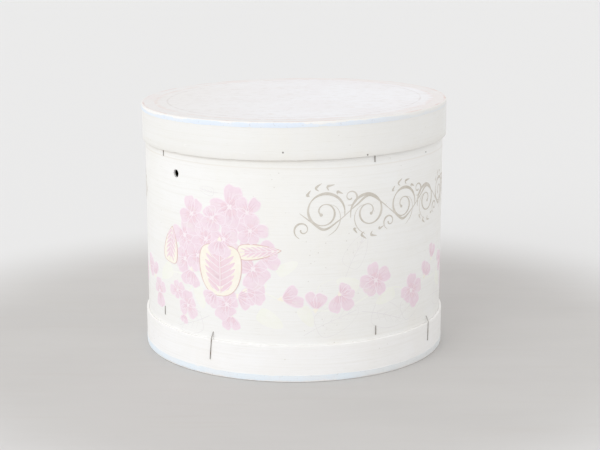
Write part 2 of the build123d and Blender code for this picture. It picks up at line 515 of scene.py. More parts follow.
def smooth_path(points):
    """Points every PATH_STEP mm or so along a smooth curve through the given ones."""
    if len(points) == 2:
        points = [points[0], tuple((a + b) / 2 for a, b in zip(*points)), points[1]]
    padded = [points[0], *points, points[-1]]
    path = []
    for p0, p1, p2, p3 in zip(padded, padded[1:], padded[2:], padded[3:]):
        count = max(2, math.ceil(math.dist(p1, p2) / PATH_STEP))
        for i in range(count):
            t = i / count
            path.append(tuple(curve_at(*values, t) for values in zip(p0, p1, p2, p3)))
    return [*path, points[-1]]


class Stencil:
    """The inks, used in axes of their own: (0, 0) is at centre and +X is turned by degrees."""

    def __init__(self, inks, centre, degrees):
        self.inks = inks
        self.centre = centre
        self.turn = math.radians(degrees)

    def put(self, point):
        x, y = point
        across, up = math.cos(self.turn), math.sin(self.turn)
        return (self.centre[0] + x * across - y * up, self.centre[1] + x * up + y * across)

    def shape(self, ink, centre, outline):
        self.inks[ink].shape(self.put(centre), [self.put(p) for p in outline])

    def stroke(self, ink, points, widths):
        self.inks[ink].stroke([self.put(p) for p in points], widths)


def petal_outline(length, width, notch, draw):
    """A petal that grows from (0, 0) along +X, with a blunt, slightly notched end."""
    curve = draw.uniform(-0.12, 0.12)
    points = []
    for i in range(30):
        t = math.tau * i / 30
        x = length * (0.5 - 0.5 * math.cos(t))
        share = x / length
        y = 0.5 * width * math.sin(t) * (0.52 + 0.8 * share**0.8)
        x -= notch * length * math.exp(-(((t - math.pi) / 0.3) ** 2))
        y += curve * width * math.sin(math.pi * share)
        points.append((x * (1 + draw.uniform(-0.02, 0.02)), y))
    return points


def petal(inks, base, length, width, degrees, draw, notch=0.1):
    """One petal: a flat body, a pale rim, a shadowed base and a few darker veins."""
    stencil = Stencil(inks, base, degrees)
    points = petal_outline(length, width, notch, draw)
    stencil.shape("petal", (0.58 * length, 0), points)
    rim = [(0.5 * length + (x - 0.5 * length) * 0.98, y * 0.97) for x, y in points[::2] + points[:1]]
    stencil.stroke("rim", rim, (0.3, 0.7, 0.45, 0.8, 0.3))
    hollow = [(0.42 * x + 0.04 * length, 0.5 * y) for x, y in points]
    stencil.shape("blush", (0.26 * length, 0), hollow)
    for side in (-0.24, 0.02, 0.26):
        reach = length * draw.uniform(0.5, 0.74)
        bend = side * width * draw.uniform(0.7, 1.2)
        line = [(0.1 * length, side * width * 0.25), (0.5 * reach, bend * 0.75), (reach, bend)]
        stencil.stroke("shade", line, (0.8, 0.6, 0.25))


def blossom(inks, centre, size, degrees, seed):
    """A flower of five uneven petals, each a little over the last, with a pale eye."""
    draw = random.Random(seed)
    for i in range(5):
        angle = degrees + i * 72 + draw.uniform(-19, 19)
        length = size * draw.uniform(0.74, 1.24)
        base = polar_point(centre, -0.06 * size, angle)
        petal(inks, base, length, length * draw.uniform(0.58, 0.86), angle, draw)
    eye = [polar_point(centre, 0.12 * size * (1.25 if i % 3 else 0.6), 30 * i) for i in range(12)]
    inks["light"].shape(centre, eye)
    inks["pale"].dot(centre, 0.06 * size)


def bud(inks, centre, size, degrees, seed):
    """A half-open flower: two or three petals fanned from a small pale sepal."""
    draw = random.Random(seed)
    for turn in draw.choice(((-30, 24), (-24, 30), (-38, 36, 0))):
        length, width = size * draw.uniform(0.86, 1.15), size * draw.uniform(0.55, 0.7)
        petal(inks, centre, length, width, degrees + turn, draw, notch=0.07)
    stalk = (-0.24 * size, 0)
    sepal = [(0, -0.13 * size), (0.26 * size, 0), (0, 0.13 * size), stalk, (0, -0.13 * size)]
    Stencil(inks, centre, degrees).shape("leaf", (0, 0), smooth_path(sepal)[:-1])


def leaf_outline(length, width, taper=0.42):
    """A leaf with its stalk at (0, 0), its tip at +X and two shoulders at the stalk."""
    points = []
    for i in range(64):
        t = math.tau * i / 64
        share = 0.5 - 0.5 * math.cos(t)
        blunt = 0.75 + 1.1 * taper * share
        x = length * share + 0.09 * length * math.cos(t * 2) * (1 - share) - 0.09 * length * (1 - share)
        y = 0.5 * width * math.copysign(abs(math.sin(t)) ** blunt, math.sin(t))
        points.append((x, y * (1 + (0.65 - share) * taper) / (1 + 0.15 * taper)))
    return points


def leaf(inks, stalk, length, width, degrees, taper):
    """A leaf with a cream rim, a feathered rose middle, pale veins and a thin rose-brown contour."""
    stencil = Stencil(inks, stalk, degrees)
    outline = leaf_outline(length, width, taper)
    middle = (0.45 * length, 0)
    stencil.shape("leaf", middle, outline)
    stencil.stroke("vein", outline[::2] + outline[:1], (0.5, 0.9, 0.5, 1.0, 0.5))
    core = [(0.46 * length + (x - 0.46 * length) * 0.66, y * 0.34) for x, y in outline]
    stencil.shape("blush", middle, core)
    for i in range(LEAF_VEINS):
        share = 0.9 - 0.74 * i / LEAF_VEINS
        reach = 0.36 * width * math.sin(math.pi * (0.3 + 0.5 * i / LEAF_VEINS))
        for side in (-1, 1):
            root = (share * length, side * 0.02 * width)
            elbow = ((share - 0.09) * length, side * reach * 0.55)
            tip = ((share - 0.21) * length, side * reach)
            vein = (root, elbow, tip)
            stencil.stroke("blush", vein, (1.5, 5.2 * width / 40, 0.4))
            stencil.stroke("light", [(x + 0.045 * length, y) for x, y in vein], (0.5, 0.8, 0.25))
    midrib = ((0.04 * length, 0), (0.5 * length, 0.01 * width), (0.94 * length, 0))
    stencil.stroke("light", midrib, (0.5, 0.9, 0.6))
    stencil.stroke("vein", [(x, y + 0.02 * width) for x, y in midrib], (0.3, 0.4, 0.3))


def pale_leaf(inks, stalk, length, width, degrees):
    """A leaf of one flat, pale colour."""
    Stencil(inks, stalk, degrees).shape("pale", (0.45 * length, 0), leaf_outline(length, width))


def sketched_leaf(inks, stalk, length, width, degrees):
    """A leaf drawn in line only, with a midrib and a few side veins."""
    stencil = Stencil(inks, stalk, degrees)
    outline = leaf_outline(length, width)
    stencil.stroke("sketch", outline[::3] + outline[:1], (SKETCH_LINE, 0.5 * SKETCH_LINE, SKETCH_LINE))
    midrib = ((-0.3 * length, -0.06 * length), (0.2 * length, 0), (0.95 * length, 0))
    stencil.stroke("sketch", midrib, (SKETCH_LINE, SKETCH_LINE))
    for i in range(4):
        for side in (-1, 1):
            root = ((0.12 + 0.2 * i) * length, 0)
            tip = ((0.3 + 0.2 * i) * length, side * 0.3 * width * (1 - 0.16 * i))
            stencil.stroke("sketch", (root, tip), (0.7 * SKETCH_LINE, 0.3 * SKETCH_LINE))


def tendril(centre, start_radius, turns, start_degrees, side):
    """Points of a spiral that winds in to its centre from start_degrees."""
    count = max(8, int(turns * 14))
    points = []
    for i in range(count + 1):
        share = i / count
        radius = start_radius * (1 - 0.82 * share)
        points.append(polar_point(centre, radius, start_degrees + side * 360 * turns * share))
    return points


def scroll(ink):
    """A running scroll: a wave that throws off a spiral on each side in turn, with leaf dashes."""
    draw = random.Random(5)
    left = SCROLL_START
    for i in range(SCROLL_WAVES):
        shrink = 1 - 0.06 * i
        pitch = SCROLL_LENGTH / SCROLL_WAVES * shrink * 1.18
        side = 1 if i % 2 else -1
        rise = SCROLL_HEIGHT * 0.25 * shrink
        middle = left + 0.5 * pitch
        wave = (
            (left, SCROLL_Z - 0.5 * side),
            (left + 0.22 * pitch, SCROLL_Z + side * 0.7 * rise),
            (middle, SCROLL_Z + side * rise * 1.5),
            (left + 0.8 * pitch, SCROLL_Z + side * 0.75 * rise),
            (left + pitch, SCROLL_Z + 0.5 * side),
            (left + 1.14 * pitch, SCROLL_Z - side * 0.5 * rise),
        )
        ink.stroke(wave, (0.4, 1.4, 2.5, 1.4, 0.8, 0.4))
        centre = (middle, SCROLL_Z - side * 0.1 * rise)
        radius = 0.44 * pitch * draw.uniform(0.95, 1.05)
        spiral = tendril(centre, radius, 1.65, 90 + side * 104, -side)
        ink.stroke(spiral, (0.5, 2.1, 2.9, 1.0, 2.4, 0.9, 1.9, 0.8, 1.4))
        ink.dot(spiral[-1], 1.6 * shrink)
        hair = tendril(centre, radius * 1.12, 0.5, 90 - side * 190, -side)
        ink.stroke(hair[:-2], (0.3, 0.8, 0.5, 0.3))
        curl_centre = (left + 0.06 * pitch, SCROLL_Z + side * 1.5 * rise)
        ink.stroke(tendril(curl_centre, 0.19 * pitch, 1.2, 250, side), (0.4, 1.9, 0.7, 1.5))
        for fan in (52, 78, 104, 130):
            far = 1.42 - abs(fan - 91) / 180
            root = polar_point(centre, radius * 1.02, -side * fan)
            belly = polar_point(centre, radius * (1 + 0.55 * (far - 1)), -side * (fan + 5))
            tip = polar_point(centre, radius * far, -side * (fan - 9))
            ink.stroke((root, belly, tip), (0.4, 2.5 * shrink, 0.3))
        left += pitch


class Shader:
    """A node material written as expressions. Sockets and plain numbers both go in as values.

    leaning is for the lid's pieces: their x and z are those of the square, seated lid.
    """

    def __init__(self, name, leaning=False):
        self.material = bpy.data.materials.new(name)
        self.material.use_nodes = True
        self.tree = self.material.node_tree
        self.tree.nodes.clear()
        self.surface = self.node("BsdfPrincipled")
        self.node("OutputMaterial", self.surface.outputs[0])
        self.place = self.node("TexCoord").outputs["Object"]
        self.x, self.y, self.z = self.node("SeparateXYZ", self.place).outputs
        if leaning:
            slope = math.tan(LEAN)
            along = self.times(self.minus(self.x, SEAT.x), slope)
            back = self.times(self.minus(self.z, SEAT.z), slope)
            self.x = self.plus(self.x, back)
            self.z = self.minus(self.z, along)

    def plug(self, value, socket):
        if isinstance(value, bpy.types.NodeSocket):
            self.tree.links.new(value, socket)
        else:
            socket.default_value = value

    def node(self, kind, *values, **named):
        """A new node, with values plugged into its first inputs and into the named ones."""
        node = self.tree.nodes.new(f"ShaderNode{kind}")
        for key, value in (*enumerate(values), *named.items()):
            self.plug(value, node.inputs[key])
        return node

    def math(self, operation, a, b=0.0, clamp=False):
        node = self.node("Math", a, b)
        node.operation = operation
        node.use_clamp = clamp
        return node.outputs[0]

    def times(self, a, b):
        return self.math("MULTIPLY", a, b)

    def plus(self, a, b):
        return self.math("ADD", a, b)

    def minus(self, a, b):
        return self.math("SUBTRACT", a, b)

    def most(self, a, b):
        return self.math("MAXIMUM", a, b)

    def from_axis(self):
        """The distance from the Z axis."""
        return self.math("SQRT", self.plus(self.times(self.x, self.x), self.times(self.y, self.y)))

    def noise(self, scales, shift=0.0, detail=3.0, rough=0.55, distortion=0.0):
        """Noise of the place, stretched by the x, y and z scales and moved by shift."""
        node = self.node("VectorMath", self.place, scales, (shift, shift, shift))
        node.operation = "MULTIPLY_ADD"
        return self.noise_at(node.outputs[0], detail, rough, distortion)

    def noise_at(self, vector, detail, rough, distortion=0.0):
        named = {"Scale": 1.0, "Detail": detail, "Roughness": rough, "Distortion": distortion}
        return self.node("TexNoise", Vector=vector, **named).outputs["Fac"]

    def speckle(self, scale):
        return self.node("TexVoronoi", Vector=self.place, Scale=scale).outputs["Distance"]

    def near(self, spot, radius):
        """1 at the spot and 0 outside the radius round it."""
        node = self.node("VectorMath", self.place, spot)
        node.operation = "DISTANCE"
        return self.fade(node.outputs["Value"], 0.4 * radius, radius)

    def band(self, value, low, high, out_low=0.0, out_high=1.0):
        """Maps low to high onto out_low to out_high, smoothly and clamped."""
        node = self.node("MapRange", value, low, high, out_low, out_high)
        node.interpolation_type = "SMOOTHSTEP"
        return node.outputs[0]

    def fade(self, value, low, high):
        """1 up to low, 0 from high."""
        return self.band(value, low, high, 1.0, 0.0)

    def mix(self, share, a, b):
        node = self.node("Mix", share)
        node.data_type = "RGBA"
        self.plug(a, node.inputs[6])
        self.plug(b, node.inputs[7])
        return node.outputs[2]

    def coats(self, colour, *coats):
        """The colour under coats of others, each a (share, colour)."""
        for share, coat in coats:
            colour = self.mix(share, colour, coat)
        return colour

    def finish(self, colour, rough, height, bump=0.3, distance=0.2 * MM):
        node = self.node("Bump", Strength=bump, Distance=distance, Height=height)
        self.plug(colour, self.surface.inputs["Base Color"])
        self.plug(rough, self.surface.inputs["Roughness"])
        self.plug(node.outputs[0], self.surface.inputs["Normal"])
        return self.material


def tint(red, green, blue):
    """A linear colour from 0 to 255 screen values."""
    channels = []
    for value in (red, green, blue):
        share = value / 255
        channels.append(share / 12.92 if share <= 0.04045 else ((share + 0.055) / 1.055) ** 2.4)
    return (*channels, 1.0)


def painted_veneer(name, ring, seed, cream, dirt, dark_spots=(), rub_line=None, leaning=False):
    """Thin cream paint over veneer with its grain round the hoop, rubbed and soiled at the edges."""
    s = Shader(name, leaning)
    drift = s.noise((9, 9, 14), seed, detail=2)
    waved_z = s.plus(s.z, s.times(drift, 5 * MM))
    grain_place = s.node("CombineXYZ", s.times(s.x, 7), s.times(s.y, 7), s.times(waved_z, 620))
    grain = s.noise_at(grain_place.outputs[0], detail=5, rough=0.62)
    fibre = s.noise((26, 26, 2300), seed, detail=2, rough=0.6)
    pores = s.band(s.noise((75, 75, 1500), seed + 3, detail=1), 0.66, 0.74)
    cloud = s.noise((11, 11, 13), seed + 5, detail=4, rough=0.6)
    stain = s.band(s.noise((17, 17, 9), seed + 8, detail=5, rough=0.65), 0.5, 0.74)
    scuff = s.band(s.noise((60, 60, 190), seed + 9, detail=3, rough=0.7), 0.68, 0.78)
    fleck_here = s.band(s.noise((30, 30, 30), seed + 12, detail=1), 0.56, 0.64)
    flecks = s.times(s.fade(s.speckle(170), 0.05, 0.13), fleck_here)

    from_low, from_high = s.minus(s.z, ring.low), s.minus(ring.high, s.z)
    ragged = s.times(s.noise((120, 120, 60), seed + 20, detail=4), 9 * MM)
    soiled = [s.fade(s.minus(span, ragged), -3 * MM, 4 * MM) for span in (from_low, from_high)]
    edges = [s.fade(span, 0.3 * MM, 0.9 * MM) for span in (from_low, from_high)]
    bare = s.times(s.most(*edges), s.band(s.noise((90, 90, 90), seed + 30), 0.4, 0.6))
    paint = s.coats(
        cream,
        (s.band(cloud, 0.3, 0.7), tuple(c * k for c, k in zip(cream, (0.975, 0.968, 0.95, 1)))),
        (s.times(stain, 0.25), tint(240, 236, 226)),
        (s.band(grain, 0.42, 0.72, 0.0, 0.24), tint(231, 229, 222)),
        (s.band(fibre, 0.55, 0.8, 0.0, 0.12), tint(216, 211, 200)),
        (s.times(pores, 0.09), tint(176, 166, 150)),
        (s.times(scuff, 0.4), tint(251, 250, 248)),
        (s.times(flecks, 0.3), tint(150, 134, 112)),
        (s.times(s.most(*soiled), dirt), tint(220, 213, 200)),
        (s.times(bare, 0.14), tint(222, 214, 200)),
    )
    height = s.minus(s.plus(s.times(grain, 0.6), s.times(fibre, 0.3)), s.times(pores, 0.4))
    for spot in dark_spots:
        mark = s.near(spot, 1.1 * MM)
        paint = s.mix(s.times(mark, 0.85), paint, tint(70, 62, 56))
        height = s.minus(height, mark)
    if rub_line:
        line = s.math("ABSOLUTE", s.minus(s.plus(s.z, s.times(drift, 1.5 * MM)), rub_line))
        rubbed = s.band(line, 0.2 * MM, 1.1 * MM, 0.28, 0.0)
        paint = s.mix(rubbed, paint, tint(226, 217, 206))
        height = s.minus(height, rubbed)
    rough = s.band(s.plus(cloud, s.times(grain, 0.5)), 0.5, 1.0, 0.5, 0.72)
    return s.finish(paint, rough, height, bump=0.22, distance=0.12 * MM)


def bare_poplar(name, around=True):
    """Unpainted poplar, aged yellow-brown, its grain round the hoop or across a board."""
    s = Shader(name)
    scales = (8, 8, 520) if around else (5, 190, 190)
    grain = s.noise(scales, detail=6, rough=0.66, distortion=0.25)
    figure = s.noise([k * 0.22 for k in scales], 4.0)
    pores = s.band(s.noise([k * 3.1 for k in scales], 9.0, detail=1), 0.64, 0.74)
    cloud = s.noise((12, 12, 12), 2.0, detail=4)
    wood = s.coats(
        tint(233, 217, 189),
        (s.band(grain, 0.3, 0.72), tint(207, 183, 147)),
        (s.band(figure, 0.45, 0.7, 0.0, 0.4), tint(212, 196, 160)),
        (s.times(pores, 0.35), tint(150, 122, 88)),
        (s.band(cloud, 0.5, 0.75, 0.0, 0.3), tint(214, 203, 184)),
    )
    height = s.minus(grain, s.times(pores, 0.6))
    return s.finish(wood, s.band(grain, 0.3, 0.7, 0.62, 0.8), height, bump=0.45, distance=0.15 * MM)


def gummed_tape(name, ring, outward, seed, blue, wear, leaning=False):
    """Pale blue paper tape, rubbed white along the corner and pink-grey where it lies on the flat, with
    painted shade greying it towards the right.
    """
    s = Shader(name, leaning)
    corner_z = ring.high if outward > 0 else ring.low
    below = s.times(s.minus(corner_z, s.z), outward)
    inward = s.minus(ring.outside, s.from_axis())
    patch = s.noise((26, 26, 26), seed, detail=4, rough=0.6)
    ragged = s.noise((150, 150, 150), seed + 4, detail=4, rough=0.7)
    fibre = s.noise((900, 900, 900), seed + 7, detail=2)
    specks = s.band(s.noise((420, 420, 420), seed + 9, detail=1), 0.66, 0.72)

    wear_width = s.band(patch, 0.3, 0.7, 0.6 * MM, wear)
    wear_edge = s.plus(below, s.times(s.minus(ragged, 0.5), 2.6 * MM))
    rubbed = s.band(s.minus(wear_edge, wear_width), -0.6 * MM, 0.5 * MM)
    # painted shade: the tape's side turns greyer towards the right (+X)
    right_side_shade = s.band(s.plus(s.x, s.times(patch, 60 * MM)), 40 * MM, 140 * MM, 0.0, 0.6)
    blue = s.mix(s.band(patch, 0.35, 0.7), blue, tint(238, 243, 248))
    side = s.coats(tint(247, 246, 244), (rubbed, blue), (right_side_shade, tint(238, 237, 234)))

    fringe_in = s.plus(inward, s.times(s.minus(ragged, 0.5), 3.0 * MM))
    fringe = s.times(s.band(fringe_in, 0.6 * MM, 1.3 * MM), s.fade(fringe_in, 2.2 * MM, 3.4 * MM))
    fringe = s.times(fringe, s.band(s.noise((44, 44, 44), seed + 12), 0.42, 0.6, 0.1, 0.6))
    flat = s.mix(s.band(patch, 0.35, 0.65), tint(232, 231, 231), tint(232, 227, 226))
    colour = s.coats(
        side,
        (s.band(inward, 0.5 * MM, 1.3 * MM), flat),
        (fringe, tint(220, 190, 184)),
        (s.times(specks, 0.2), tint(184, 174, 168)),
        (s.times(fibre, 0.12), tint(190, 184, 178)),
    )
    return s.finish(colour, s.band(patch, 0.3, 0.7, 0.62, 0.8), s.plus(fibre, patch))


def lid_paper():
    """Old grey-white paper with a faint pressed ring, blotches, fibres and rubbed scratches, and painted
    shade that darkens its left side.
    """
    s = Shader("lid_paper", leaning=True)
    span = s.from_axis()
    cloud = s.noise((13, 13, 13), 1.0, detail=5, rough=0.62)
    blotch = s.noise((21, 33, 21), 6.0, detail=4, rough=0.6)
    mottle = s.noise((110, 110, 110), 3.0, detail=4, rough=0.7)
    fibre = s.noise((700, 900, 700), 8.0, detail=2)
    scratch = s.band(s.noise((24, 520, 24), 9.0, detail=2, distortion=0.4), 0.69, 0.74)
    foxed_here = s.band(s.noise((17, 17, 17), 14.0, detail=2), 0.55, 0.68)
    foxing = s.times(s.fade(s.speckle(55), 0.05, 0.2), foxed_here)
    ring = s.fade(s.math("ABSOLUTE", s.minus(span, PRESSED_RING)), 0.3 * MM, 1.3 * MM)
    worn_rim = s.times(
        s.band(s.minus(span, PAPER.outside), -6 * MM, 0.0), s.band(mottle, 0.3, 0.6, 0.0, 0.6)
    )
    paper = s.coats(
        tint(236, 236, 239),
        (s.band(cloud, 0.32, 0.68), tint(233, 231, 233)),
        # painted shade: the paper turns darker towards its left side (-X)
        (s.band(s.x, -150 * MM, 30 * MM, 0.8, 0.0), tint(230, 228, 226)),
        (s.band(blotch, 0.5, 0.7, 0.0, 0.4), tint(231, 228, 229)),
        (s.band(mottle, 0.45, 0.7, 0.0, 0.3), tint(216, 212, 209)),
        (s.times(foxing, 0.3), tint(196, 172, 146)),
        (s.times(scratch, 0.35), tint(248, 247, 246)),
        (s.times(ring, s.band(mottle, 0.35, 0.6, 0.05, 0.3)), tint(190, 178, 176)),
        (worn_rim, tint(226, 212, 208)),
    )
    height = s.plus(s.plus(fibre, mottle), s.times(ring, -0.8))
    return s.finish(paper, s.band(cloud, 0.3, 0.7, 0.7, 0.85), height, distance=0.15 * MM)


def steel_wire():
    """Old iron wire, grey-brown, dull, with rust where it is pitted."""
    s = Shader("steel_wire")
    pits = s.noise((900, 900, 900), detail=4, rough=0.7)
    rust = s.band(s.noise((260, 260, 180), 4.0), 0.45, 0.68)
    drawn = s.noise((1500, 1500, 120), 7.0, detail=2)
    metal = s.mix(s.band(drawn, 0.3, 0.7), tint(150, 147, 143), tint(178, 175, 170))
    colour = s.mix(s.times(rust, 0.5), metal, tint(138, 110, 88))
    s.surface.inputs["Metallic"].default_value = 0.35
    return s.finish(colour, s.band(rust, 0.0, 1.0, 0.42, 0.8), pits, bump=0.4, distance=0.1 * MM)


def ink_material(name, colour, second, seed, fade):
    """Ink that soaked into the paint: blotted, rubbed thin along the grain and in patches."""
    s = Shader(name)
    blot = s.noise((240, 240, 240), seed, detail=4, rough=0.65)
    pool = s.noise((60, 60, 60), seed + 2)
    grain = s.noise((16, 16, 1150), seed + 4, detail=4, rough=0.65)
    rubbed = s.band(s.noise((34, 34, 75), seed + 6, detail=5, rough=0.68), 0.5, 0.75)
    bare = s.times(s.band(grain, 0.52, 0.72), fade)
    thin = s.math("MAXIMUM", bare, s.times(rubbed, 1.3 * fade), clamp=True)
    shade = s.mix(s.band(s.plus(blot, pool), 0.75, 1.25), colour, second)
    shade = s.mix(thin, shade, tint(240, 237, 230))
    rough = s.band(pool, 0.3, 0.7, 0.5, 0.7)
    return s.finish(shade, rough, s.plus(grain, blot), distance=0.1 * MM)


def pale_floor():
    """A plain, pale grey floor with painted light: darker near the box and brightening gently away from
    it.
    """
    s = Shader("pale_floor")
    cloud = s.noise((3, 9, 3), detail=5, rough=0.6)
    streak = s.noise((7, 90, 7), 2.0, detail=4, rough=0.6)
    colour = s.coats(
        FLOOR_SHADED_NEAR,
        (s.band(cloud, 0.3, 0.7), tuple(c * 0.96 for c in FLOOR_SHADED_NEAR)),
        (s.band(streak, 0.5, 0.75, 0.0, 0.15), tint(190, 182, 176)),
        # painted light: the floor goes from its shaded colour near the box to a lit one far from it
        (s.band(s.from_axis(), *FLOOR_LIGHT_SPAN), FLOOR_LIT_FAR),
    )
    return s.finish(colour, 0.75, streak, bump=0.1)


# Looks of the wood and the paper.
PRESSED_RING = 125 * MM
RUB_LINE = 202.4 * MM
WALL_WOBBLE = wobble(12, 0.12 * MM)
WALL_SPECKS = [at(WALL.outside, turn, z * MM) for turn, z in ((57.8, 204.7), (-20.0, 126), (86.0, 118))]
RIM_SPECKS = [lean(at(RIM.outside, turn, z * MM)) for turn, z in ((-3.9, 215), (26.2, 209), (140, 222))]
RELIEF_WAVES = [
    (random.Random(70 + i).uniform(-90, 90), random.Random(90 + i).uniform(-90, 90), i * 1.7)
    for i in range(8)
]
# Painted light: one cream paint, made lighter on the low band and darker on the lid rim than on the wall,
# to even out how much light each part gets.
WALL_CREAM = tint(245, 245, 244)
BAND_CREAM_LIGHTENED = tint(251, 251, 252)
LID_CREAM_DARKENED = tint(240, 240, 239)
# Painted light: one blue tape, made lighter low down on the base than on the lid, to even out how much
# light each gets.
LID_BLUE_DARKENED = tint(228, 238, 251)
BASE_BLUE_LIGHTENED = tint(235, 246, 255)

# Painted light on the floor: its darker colour near the box, its lighter one far off, and the distances
# in metres over which it changes.
FLOOR_SHADED_NEAR = tint(200, 198, 196)
FLOOR_LIT_FAR = tint(228, 228, 228)
FLOOR_LIGHT_SPAN = (0.3, 0.52)
FLOOR_RINGS = (0.0005, 0.4, 1.0, 3.0, 12.0)
FLOOR_SIDES = 64
SUN_STRENGTH = 0.84
SUN_COLOUR = (0.965, 0.985, 1.0)
SUN_FROM = Vector((-1.4, -1.6, 1.15))
SKY_COLOUR = (0.985, 0.98, 0.975, 1)
SKY_STRENGTH = 0.95

# The camera, fitted to the proportions of the box.
CAMERA_PLACE = (0, -1.444, 0.4533)
CAMERA_PITCH = 13.17
CAMERA_YAW = 0.24
CAMERA_LENS = 87.95

# The print: angles in degrees, heights and sizes in millimetres. It repeats after half a turn.
ARC_PER_DEGREE = math.radians(WALL.outside / MM)
PRINT_TURNS = (0, 180)
LAYER_STEP = 0.055 * MM
OVERLAP_STEP = 0.001 * MM  # keeps neighbouring plates of one ink apart
PLATE_SUNK = 0.06 * MM
RING_STEP = 2.2
PATH_STEP = 1.2
SKETCH_LINE = 0.45
LEAF_VEINS = 6
SCROLL_START = 5.0
SCROLL_LENGTH = 268.0
SCROLL_Z = 160.0
SCROLL_HEIGHT = 40.0
SCROLL_WAVES = 7

# Ink name: (mm above the wall, colour, second colour where it pools, how much is rubbed away)
INKS = {
    "sketch": (0.03, tint(236, 234, 233), tint(231, 228, 231), 0.4),
    "pale": (0.045, tint(246, 246, 241), tint(244, 245, 237), 0.4),
    "petal": (0.06, tint(243, 226, 235), tint(239, 219, 229), 0.35),
    "leaf": (0.072, tint(250, 246, 236), tint(247, 242, 228), 0.3),
    "blush": (0.086, tint(241, 219, 227), tint(238, 212, 221), 0.3),
    "shade": (0.094, tint(236, 212, 223), tint(231, 206, 217), 0.3),
    "rim": (0.098, tint(247, 235, 242), tint(245, 231, 239), 0.2),
    "vein": (0.104, tint(228, 202, 199), tint(220, 190, 185), 0.3),
    "light": (0.11, tint(248, 239, 243), tint(246, 235, 240), 0.2),
    "scroll": (0.08, tint(213, 208, 200), tint(200, 194, 183), 0.25),
}

# Each blossom and bud is (angle, height, size, turn, seed). Later ones lie over earlier ones.
SPRAY_BLOSSOMS = (
    (-22.6, 148, 17, 60, 7),
    (-33.6, 131, 18, 200, 6),
    (-26, 133, 17, 20, 10),
    (-30.8, 152, 17, 150, 4),
    (-15.8, 143, 16, 10, 8),
    (-44, 131, 18, 170, 5),
    (-40.2, 153, 19, 112, 3),
    (-23.6, 164, 20, 92, 1),
    (-16.8, 160, 15, 35, 2),
    (-37.5, 114, 16, 240, 17),
    (-44, 108, 18, 205, 9),
    (-19, 122, 16, 80, 18),
    (-14.8, 107, 19, 325, 11),
    (-25, 71, 17, 232, 19),
)
SPRAY_BUDS = (
    (-40.8, 98, 17, 262, 20),
    (-20.5, 80, 17, 348, 33),
    (-23.4, 60, 15, 276, 31),
)
FRONT_BUDS = (
    (-27.8, 131, 17, 268, 34),
    (-30.2, 80, 14, 232, 35),
)
TRAILING_BLOSSOMS = (
    (-62.3, 66, 15, 100, 11),
    (-48.6, 75, 11.5, 40, 12),
    (-42.8, 63, 13, 95, 36),
    (31.1, 92, 18, 30, 13),
    (49.1, 74, 17, 95, 14),
    (77, 88, 15, 60, 15),
    (96, 78, 15, 20, 16),
)
TRAILING_BUDS = (
    (-66.5, 80, 15, 98, 21),
    (-44.6, 52, 9, 255, 22),
    (-12.4, 121, 20, 8, 30),
    (-17.2, 86, 19, 8, 37),
    (-4.2, 80, 19, 12, 23),
    (7.8, 70, 17, 84, 41),
    (16.8, 83, 18, 276, 25),
    (17, 83, 13, 35, 26),
    (58.6, 84, 15, 62, 27),
    (64.6, 98, 14, 75, 28),
    (86, 70, 17, 200, 29),
    (106, 84, 16, 30, 38),
)

# Each leaf is (angle, height, length, width, turn), and a painted one has its taper as well.
MAIN_LEAF = ((-27.9, 127.5, 49, 45, 270.5, 0.1),)
SIDE_LEAVES = (
    (-53.2, 100.5, 36, 21, 82, 0.95),
    (-20.4, 122, 41, 14, 5, 0.95),
)
PALE_LEAVES = (
    (-52, 96, 24, 15, 215),
    (-13, 66, 27, 15, 330),
    (2.5, 72, 22, 12, 300),
    (24, 88, 24, 13, 160),
    (40, 78, 24, 12, 200),
    (70, 78, 22, 12, 320),
    (-6, 104, 22, 11, 30),
    (-38, 84, 22, 13, 290),
)
SKETCHED_LEAVES = (
    (8, 52, 44, 26, 20),
    (30, 62, 40, 25, 340),
    (-36, 52, 34, 22, 200),
    (44, 54, 36, 22, 25),
    (68, 60, 40, 24, 350),
    (20, 108, 34, 20, 60),
    (-30, 176, 16, 8, 172),
    (90, 56, 38, 24, 15),
)
# Each stem is its (angle, height) points and the widths shared out along it.
STEMS = (
    (((-62, 76), (-56, 86), (-50, 92), (-42, 92)), (0.7, 1.2, 1.4)),
    (((-43, 66), (-42, 78), (-38, 90)), (0.8, 1.3)),
    (((-20, 74), (-15, 80), (-10, 92), (-14, 104)), (0.9, 1.3)),
    (
        ((-14, 90), (-6, 80), (2, 72), (10, 68), (20, 70), (30, 80), (40, 82), (50, 74), (58, 80)),
        (1.3, 1, 1.2, 0.8),
    ),
    (((50, 74), (60, 86), (66, 100), (70, 112)), (1, 0.9, 0.5)),
    (((58, 80), (68, 80), (78, 86), (88, 78), (98, 78), (108, 84), (118, 76)), (0.9, 1.1, 0.8)),
    (((8, 80), (9, 92), (14, 98)), (0.7, 0.5)),
)


def wall_surface(degrees):
    """The wall's outside radius there, its lap's lip included."""
    along_lap = (degrees - WALL_LAP) % 360 / math.degrees(LAP_LENGTH / WALL.outside)
    return WALL.outside + WALL_WOBBLE(degrees) + LAP_LIP * (1 - min(1.0, along_lap))


def bore_cutter(spot, seed):
    """(verts, faces) of a plug along a cord hole, flared at the mouth and a little out of round."""
    outward = Vector((spot[0], spot[1], 0)).normalized()
    side = Vector((-outward.y, outward.x, 0))
    sections = []
    for depth, swell in ((-8, 1.0), (1.4, 1.0), (1.9, 1.01), (2.15, 1.06), (6, 1.6)):
        centre = Vector((0, 0, spot[2])) + outward * (WALL.inside + depth * MM)
        loop = []
        for step in range(48):
            turn = math.tau * step / 48
            uneven = 1 + 0.012 * math.sin(3 * turn + seed) + 0.008 * math.sin(7 * turn)
            radius = CORD_HOLE_RADIUS * swell * uneven
            loop.append(centre + side * radius * math.cos(turn) + Vector((0, 0, radius * math.sin(turn))))
        sections.append(loop)
    return swept(sections)


